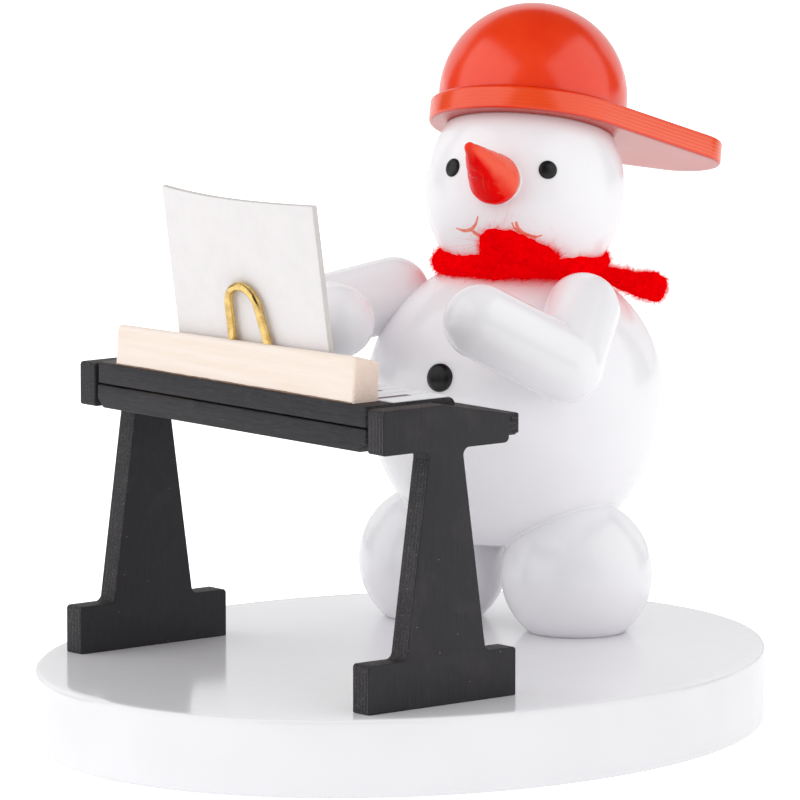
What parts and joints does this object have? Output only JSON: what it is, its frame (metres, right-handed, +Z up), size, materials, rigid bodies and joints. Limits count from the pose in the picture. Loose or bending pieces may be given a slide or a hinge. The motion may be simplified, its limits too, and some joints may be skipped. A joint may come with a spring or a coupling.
{
  "type": "snowman figure",
  "caption": "Turned and painted wooden snowman with cap and wool scarf, playing a keyboard on a black stand, on an oval base; a loose card stands in a slotted block.",
  "frame": {"origin": "centre of the oval base's underside", "axes": "+Z up; X along the oval's short axis, Y along its long axis; the snowman faces -Y and the keyboard stands at -Y"},
  "size_m": [0.0768, 0.0984, 0.0799],
  "materials": {
    "white_lacquer": "turned wood under smooth white gloss lacquer",
    "cap_lacquer": "wood under orange-red gloss lacquer",
    "nose_lacquer": "wood under unevenly dipped glossy red lacquer",
    "black_stain": "birch plywood and board, black satin stain, grain and plies showing",
    "black_gloss": "small domed pin, glossy black",
    "raw_wood": "unpainted, sanded",
    "dowel_wood": "unpainted beech dowel",
    "card": "matt uncoated card",
    "key_paper": "printed paper strip",
    "brass_wire": "drawn wire, lightly polished",
    "red_wool": "felted wool strand with loose fibres"
  },
  "bodies": {
    "figure": {"base_plate": "white_lacquer", "foot_left": "white_lacquer", "foot_right": "white_lacquer", "body": "white_lacquer", "belly_button": "black_gloss", "neck_dowel": "dowel_wood", "head": "white_lacquer", "nose": "nose_lacquer", "eye_left": "black_gloss", "eye_right": "black_gloss", "cap_brim": "cap_lacquer", "cap_dome": "cap_lacquer", "cap_dowel": "dowel_wood", "upper_arm_left": "white_lacquer", "forearm_left": "white_lacquer", "upper_arm_right": "white_lacquer", "forearm_right": "white_lacquer", "scarf_loop": "red_wool", "scarf_knot": "red_wool", "scarf_tail": "red_wool", "stand_side_left": "black_stain", "stand_side_right": "black_stain", "shelf_board": "black_stain", "keyboard_body": "black_stain", "key_sheet": "key_paper", "music_block": "raw_wood", "wire_loop": "brass_wire"},
    "card": {"music_card": "card"}
  },
  "joints": [
    {"name": "card_lift", "type": "slide", "parent": "figure", "child": "card", "axis": [-0.0393, -0.1353, 0.99], "range_m": [0, 0.012]}
  ]
}
